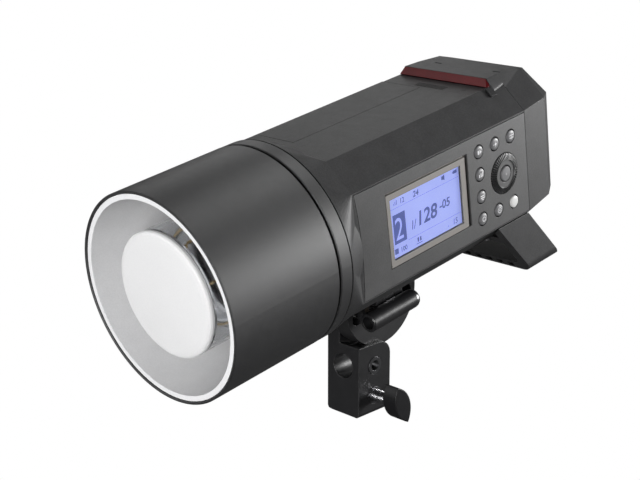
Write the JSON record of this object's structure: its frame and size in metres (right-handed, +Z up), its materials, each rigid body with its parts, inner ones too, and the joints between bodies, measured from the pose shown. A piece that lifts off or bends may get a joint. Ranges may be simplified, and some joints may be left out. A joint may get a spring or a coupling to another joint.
{
  "type": "monolight strobe",
  "caption": "Battery-powered studio flash head with an open reflector barrel, side controls, a rear handle and a tilting stand bracket.",
  "frame": {"origin": "centre of the mouth of the vertical stand socket, in the bracket's bottom face", "axes": "+Z up along the stand socket; light leaves along -Y, tilted nose down; +X to the control side"},
  "size_m": [0.125, 0.3146, 0.2108],
  "materials": {
    "bracket_black": "satin",
    "lever_black": "gloss",
    "insert_dark": "oiled black",
    "screw_steel": "satin",
    "knob_black": "fine grain",
    "disc_grey": "satin",
    "pad_brown": "matte",
    "barrel_black": "fine matte",
    "liner_silver": "matte",
    "frosted_glass": "frosted",
    "clear_glass": "clear",
    "brass": "polished",
    "lamp_aluminium": "satin",
    "lamp_ceramic": "matte",
    "led_yellow": "gloss",
    "shell_charcoal": "fine grain",
    "panel_grey": "fine grain",
    "bezel_taupe": "satin",
    "lcd_glass": "clear",
    "lcd_blue": "backlit",
    "button_grey": "satin",
    "dial_black": "satin",
    "button_white": "satin",
    "board_green": "solder mask",
    "switch_black": "satin",
    "cell_green": "shrink film",
    "capacitor_blue": "sleeve",
    "sensor_red": "gloss",
    "trim_black": "satin"
  },
  "bodies": {
    "bracket": {"bracket_body": "bracket_black", "thread_insert_lower": "insert_dark", "thread_insert_upper": "insert_dark", "tilt_bolt": "screw_steel", "bolt_washers": "screw_steel"},
    "clamp_screw": {"clamp_screw": "screw_steel"},
    "wing_knob": {"wing_knob": "knob_black"},
    "lever": {"lever_hub": "bracket_black", "lever_bar": "lever_black"},
    "head": {"tilt_tongue": "disc_grey", "tongue_screws": "screw_steel", "friction_pads": "pad_brown", "diffuser_cap": "frosted_glass", "glass_cylinder": "clear_glass", "flash_tube": "clear_glass", "tube_caps": "brass", "trigger_wire": "brass", "lamp_plate": "lamp_aluminium", "lamp_socket": "lamp_ceramic", "led_module": "lamp_aluminium", "led_chip": "led_yellow", "led_heatsink": "lamp_aluminium", "mount_ring": "barrel_black", "body_shell": "shell_charcoal", "control_panel": "panel_grey", "lcd_bezel": "bezel_taupe", "lcd_glass": "lcd_glass", "lcd_display": "lcd_blue", "control_board": "board_green", "tact_switches": "switch_black", "main_board": "board_green", "capacitor_bank": "capacitor_blue", "rear_cover": "shell_charcoal", "sensor_window": "sensor_red", "sensor_slot": "trim_black", "fan_grille": "trim_black", "fan_frame": "trim_black", "sync_socket": "screw_steel", "port_block": "screw_steel", "handle": "shell_charcoal", "handle_screws": "screw_steel", "cover_screws": "screw_steel"},
    "reflector": {"barrel_shell": "barrel_black", "reflector_liner": "liner_silver"},
    "release_slider": {"release_slider": "trim_black"},
    "dial": {"dial_ring": "dial_black"},
    "dial_button": {"dial_button": "button_grey"},
    "battery": {"battery_case": "shell_charcoal", "battery_cells": "cell_green"},
    "battery_latch": {"battery_latch": "shell_charcoal"},
    "fan_rotor": {"fan_rotor": "trim_black"},
    "port_cover": {"port_cover": "trim_black"},
    "button_1": {"button_1": "button_grey"},
    "button_2": {"button_2": "button_grey"},
    "button_3": {"button_3": "button_grey"},
    "button_4": {"button_4": "button_grey"},
    "button_5": {"button_5": "button_grey"},
    "button_6": {"button_6": "button_grey"},
    "button_7": {"button_7": "button_grey"},
    "button_8": {"button_8": "button_white"}
  },
  "joints": [
    {"name": "head_tilt", "type": "hinge", "parent": "bracket", "child": "head", "pos_m": [0, 0.0085, 0.0765], "axis": [1, 0, 0], "range_deg": [-65, 34]},
    {"name": "tilt_lever", "type": "hinge", "parent": "bracket", "child": "lever", "pos_m": [0, 0.0085, 0.0765], "axis": [1, 0, 0], "range_deg": [-30, 30]},
    {"name": "clamp_travel", "type": "slide", "parent": "bracket", "child": "clamp_screw", "axis": [-1, 0, 0], "range_m": [-0.005, 0.0025]},
    {"name": "wing_knob_turn", "type": "hinge", "parent": "clamp_screw", "child": "wing_knob", "pos_m": [0.029, 0, 0.013], "axis": [1, 0, 0], "range_deg": [-720, 1440]},
    {"name": "reflector_twist", "type": "hinge", "parent": "head", "child": "reflector", "pos_m": [0, -0.12251, 0.11933], "axis": [0, -0.9877, -0.1564], "range_deg": [0, 37]},
    {"name": "release_slide", "type": "slide", "parent": "head", "child": "release_slider", "axis": [0, -0.1564, 0.9877], "range_m": [0, 0.004], "stiffness_N_per_m": 200, "springref_m": -0.001},
    {"name": "button_1_press", "type": "slide", "parent": "head", "child": "button_1", "axis": [-1, 0, 0], "range_m": [0, 0.0008], "stiffness_N_per_m": 800, "springref_m": -0.0005},
    {"name": "button_2_press", "type": "slide", "parent": "head", "child": "button_2", "axis": [-1, 0, 0], "range_m": [0, 0.0008], "stiffness_N_per_m": 800, "springref_m": -0.0005},
    {"name": "button_3_press", "type": "slide", "parent": "head", "child": "button_3", "axis": [-1, 0, 0], "range_m": [0, 0.0008], "stiffness_N_per_m": 800, "springref_m": -0.0005},
    {"name": "button_4_press", "type": "slide", "parent": "head", "child": "button_4", "axis": [-1, 0, 0], "range_m": [0, 0.0008], "stiffness_N_per_m": 800, "springref_m": -0.0005},
    {"name": "button_5_press", "type": "slide", "parent": "head", "child": "button_5", "axis": [-1, 0, 0], "range_m": [0, 0.0008], "stiffness_N_per_m": 800, "springref_m": -0.0005},
    {"name": "button_6_press", "type": "slide", "parent": "head", "child": "button_6", "axis": [-1, 0, 0], "range_m": [0, 0.0008], "stiffness_N_per_m": 800, "springref_m": -0.0005},
    {"name": "button_7_press", "type": "slide", "parent": "head", "child": "button_7", "axis": [-1, 0, 0], "range_m": [0, 0.0008], "stiffness_N_per_m": 800, "springref_m": -0.0005},
    {"name": "button_8_press", "type": "slide", "parent": "head", "child": "button_8", "axis": [-1, 0, 0], "range_m": [0, 0.0008], "stiffness_N_per_m": 800, "springref_m": -0.0005},
    {"name": "dial_turn", "type": "hinge", "parent": "head", "child": "dial", "pos_m": [0.052, 0.07462, 0.15126], "axis": [1, 0, 0], "continuous": true},
    {"name": "dial_button_press", "type": "slide", "parent": "head", "child": "dial_button", "axis": [-1, 0, 0], "range_m": [0, 0.0008], "stiffness_N_per_m": 800, "springref_m": -0.0005},
    {"name": "battery_slide", "type": "slide", "parent": "head", "child": "battery", "axis": [-1, 0, 0], "range_m": [0, 0.056]},
    {"name": "battery_latch_slide", "type": "slide", "parent": "head", "child": "battery_latch", "axis": [0, 0.9877, 0.1564], "range_m": [0, 0.004], "stiffness_N_per_m": 300, "springref_m": -0.001},
    {"name": "fan_spin", "type": "hinge", "parent": "head", "child": "fan_rotor", "pos_m": [0, 0.10569, 0.16155], "axis": [0, 0.9877, 0.1564], "continuous": true},
    {"name": "port_cover_turn", "type": "hinge", "parent": "head", "child": "port_cover", "pos_m": [0.034, 0.13409, 0.13122], "axis": [-1, 0, 0], "range_deg": [0, 95]}
  ],
  "couplings": [
    {"joint": "clamp_travel", "follows": "wing_knob_turn", "m_per_rad": -0.00019894}
  ]
}
